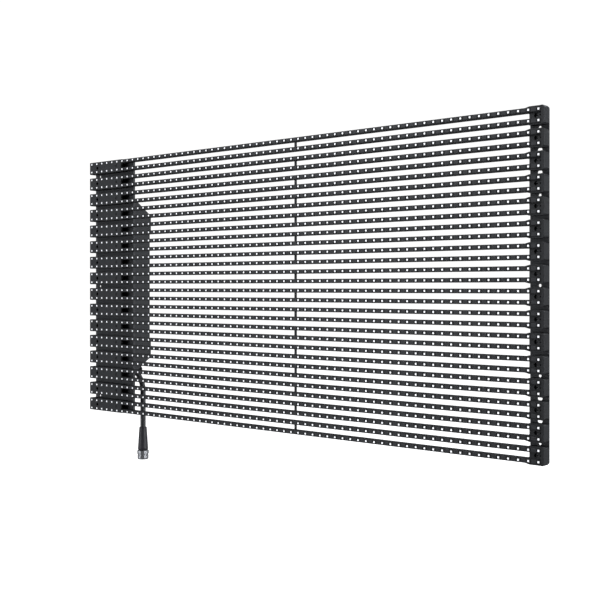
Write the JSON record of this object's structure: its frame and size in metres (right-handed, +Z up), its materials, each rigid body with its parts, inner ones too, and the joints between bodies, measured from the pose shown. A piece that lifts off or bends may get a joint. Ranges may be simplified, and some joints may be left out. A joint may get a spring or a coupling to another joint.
{
  "type": "transparent led screen panel",
  "caption": "See-through LED screen panel: stacked slim bar modules on two sheet-metal rails, with a control box behind one end and a hanging cord with a round plug.",
  "frame": {"origin": "centre of the rectangle of rear fixing holes, on the back face of the two rails", "axes": "+X to the viewer's right along the bars, the lit face looks along -Y and +Y points out of the back, +Z up"},
  "size_m": [1, 0.0775, 0.5919],
  "materials": {
    "case_plastic": "fine matt, dark charcoal",
    "led_board": "matt black resist",
    "rail": "satin dark grey powder coat",
    "box": "satin dark grey powder coat",
    "screw": "black zinc",
    "seal": "matt",
    "standoff": "plain",
    "supply_case": "plain sheet",
    "circuit_board": "green resist",
    "gland": "matt black nylon",
    "cord_jacket": "satin black jacket",
    "plug_moulding": "satin black moulding",
    "contact": "gilt",
    "nut_metal": "nickel plated"
  },
  "bodies": {
    "panel": {"module_01_case": "case_plastic", "module_02_case": "case_plastic", "module_03_case": "case_plastic", "module_04_case": "case_plastic", "module_05_case": "case_plastic", "module_06_case": "case_plastic", "module_07_case": "case_plastic", "module_08_case": "case_plastic", "module_09_case": "case_plastic", "module_10_case": "case_plastic", "module_11_case": "case_plastic", "module_12_case": "case_plastic", "module_13_case": "case_plastic", "module_14_case": "case_plastic", "module_15_case": "case_plastic", "module_16_case": "case_plastic", "module_01_board": "led_board", "module_02_board": "led_board", "module_03_board": "led_board", "module_04_board": "led_board", "module_05_board": "led_board", "module_06_board": "led_board", "module_07_board": "led_board", "module_08_board": "led_board", "module_09_board": "led_board", "module_10_board": "led_board", "module_11_board": "led_board", "module_12_board": "led_board", "module_13_board": "led_board", "module_14_board": "led_board", "module_15_board": "led_board", "module_16_board": "led_board", "module_screws_left": "screw", "module_screws_right": "screw", "left_rail": "rail", "right_rail": "rail", "control_box": "box", "box_cover": "box", "box_screws": "screw", "cover_screws": "screw", "cover_gasket": "seal", "board_standoffs": "standoff", "power_supply": "supply_case", "hub_board": "circuit_board", "control_card": "circuit_board", "gland_body": "gland", "gland_locknut": "gland", "gland_cap": "gland", "cord": "cord_jacket", "cord_plug": "plug_moulding", "contact_pins": "contact"},
    "coupling_nut": {"coupling_nut": "nut_metal"}
  },
  "joints": [
    {"name": "coupling_nut_turn", "type": "hinge", "parent": "panel", "child": "coupling_nut", "pos_m": [-0.415, 0.04934, -0.33566], "axis": [0, 0, 1], "continuous": true}
  ]
}
